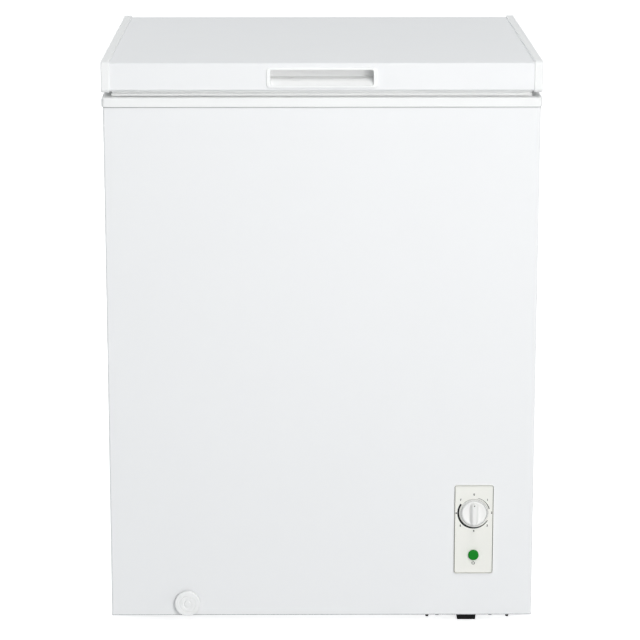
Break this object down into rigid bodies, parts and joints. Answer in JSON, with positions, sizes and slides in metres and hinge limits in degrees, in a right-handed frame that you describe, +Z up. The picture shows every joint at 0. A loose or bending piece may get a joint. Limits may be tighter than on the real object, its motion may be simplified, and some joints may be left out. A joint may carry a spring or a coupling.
{
  "type": "chest freezer",
  "caption": "Small upright-walled chest freezer with a hinged lid, recessed pull, stepped tub, sliding wire basket, thermostat knob and pull-out drain.",
  "frame": {"origin": "on the floor, under the middle of the whole freezer's box", "axes": "+X to the right seen from the front, +Y to the back, +Z up"},
  "size_m": [0.63, 0.572, 0.85],
  "materials": {
    "white_coated_steel": "satin",
    "white_plastic": "satin",
    "liner_aluminium": "satin",
    "galvanised_steel": "satin",
    "zinc_fasteners": "satin",
    "polyurethane_foam": "matte",
    "aluminium_tube": "satin",
    "coated_steel_tube": "satin",
    "copper_pipe": "satin",
    "compressor_black": "satin",
    "motor_steel": "satin",
    "black_rubber": "matte",
    "black_plastic": "satin",
    "grey_plastic": "satin",
    "white_gasket": "matte",
    "green_lens": "gloss",
    "loom_sleeve": "matte",
    "spring_steel": "satin",
    "basket_wire": "gloss",
    "hinge_steel": "satin"
  },
  "bodies": {
    "cabinet": {"cabinet_wrapper": "white_coated_steel", "rear_panel": "galvanised_steel", "base_panel": "galvanised_steel", "compressor_bay_panel": "galvanised_steel", "inner_liner": "liner_aluminium", "evaporator_coil": "aluminium_tube", "condenser_coil": "coated_steel_tube", "rim_frame": "white_plastic", "drain_tube": "white_plastic", "drain_socket": "white_plastic", "insulation_foam": "polyurethane_foam", "compressor_tray": "galvanised_steel", "compressor_grommets": "black_rubber", "compressor_bolts": "zinc_fasteners", "compressor_shell": "compressor_black", "compressor_pump": "motor_steel", "compressor_terminal_cover": "black_plastic", "suction_pipe": "copper_pipe", "discharge_pipe": "copper_pipe", "process_pipe": "copper_pipe", "filter_drier": "copper_pipe", "capillary_tube": "copper_pipe", "rear_vent_cover": "grey_plastic", "cord_gland": "black_rubber", "vent_cover_screws": "zinc_fasteners", "wiring_loom": "loom_sleeve", "feet": "black_plastic", "front_foot": "black_plastic", "base_bolts": "zinc_fasteners", "tray_plugs": "black_rubber", "control_panel": "white_plastic", "thermostat_body": "grey_plastic", "thermostat_sensor": "copper_pipe", "power_lamp": "green_lens", "lamp_holder": "black_plastic", "hinge_housing_left": "hinge_steel", "hinge_housing_right": "hinge_steel", "hinge_pin_left": "zinc_fasteners", "hinge_pin_right": "zinc_fasteners", "hinge_spring_left": "spring_steel", "hinge_spring_right": "spring_steel", "hinge_base_screws": "zinc_fasteners"},
    "lid": {"lid_panel": "white_coated_steel", "lid_end_cap_left": "white_plastic", "lid_end_cap_right": "white_plastic", "lid_liner": "white_plastic", "lid_gasket": "white_gasket", "lid_handle": "white_plastic", "lid_foam": "polyurethane_foam", "hinge_arm_left": "hinge_steel", "hinge_arm_right": "hinge_steel", "hinge_arm_screws": "zinc_fasteners"},
    "thermostat_control": {"thermostat_knob": "white_plastic", "thermostat_shaft": "zinc_fasteners"},
    "drain_outlet": {"drain_spout": "white_plastic"},
    "drain_cap": {"drain_dial": "white_plastic"},
    "tub_plug": {"drain_plug": "grey_plastic"},
    "wire_basket": {"basket": "basket_wire"},
    "plunger_left": {"hinge_plunger_left": "grey_plastic"},
    "plunger_right": {"hinge_plunger_right": "grey_plastic"}
  },
  "joints": [
    {"name": "lid_hinge", "type": "hinge", "parent": "cabinet", "child": "lid", "pos_m": [0, 0.276, 0.78], "axis": [-1, 0, 0], "range_deg": [0, 80], "stiffness_Nm_per_rad": 9, "springref_deg": 100.27},
    {"name": "thermostat_turn", "type": "hinge", "parent": "cabinet", "child": "thermostat_control", "pos_m": [0.2253, -0.279, 0.1775], "axis": [0, 1, 0], "range_deg": [0, 315]},
    {"name": "drain_pull", "type": "slide", "parent": "cabinet", "child": "drain_outlet", "axis": [0, -1, 0], "range_m": [0, 0.022]},
    {"name": "drain_turn", "type": "hinge", "parent": "drain_outlet", "child": "drain_cap", "pos_m": [-0.2, -0.274, 0.0383], "axis": [0, 1, 0], "range_deg": [0, 180]},
    {"name": "tub_plug_lift", "type": "slide", "parent": "cabinet", "child": "tub_plug", "axis": [0, 0, 1], "range_m": [0, 0.04]},
    {"name": "basket_slide", "type": "slide", "parent": "cabinet", "child": "wire_basket", "axis": [1, 0, 0], "range_m": [0, 0.274]},
    {"name": "plunger_left_rise", "type": "slide", "parent": "cabinet", "child": "plunger_left", "axis": [0, 0, 1], "range_m": [0, 0.0077], "deforming": ["hinge_spring_left"]},
    {"name": "plunger_right_rise", "type": "slide", "parent": "cabinet", "child": "plunger_right", "axis": [0, 0, 1], "range_m": [0, 0.0077], "deforming": ["hinge_spring_right"]}
  ],
  "couplings": [
    {"joint": "plunger_left_rise", "follows": "lid_hinge", "m_per_rad": 0.0055},
    {"joint": "plunger_right_rise", "follows": "lid_hinge", "m_per_rad": 0.0055}
  ]
}
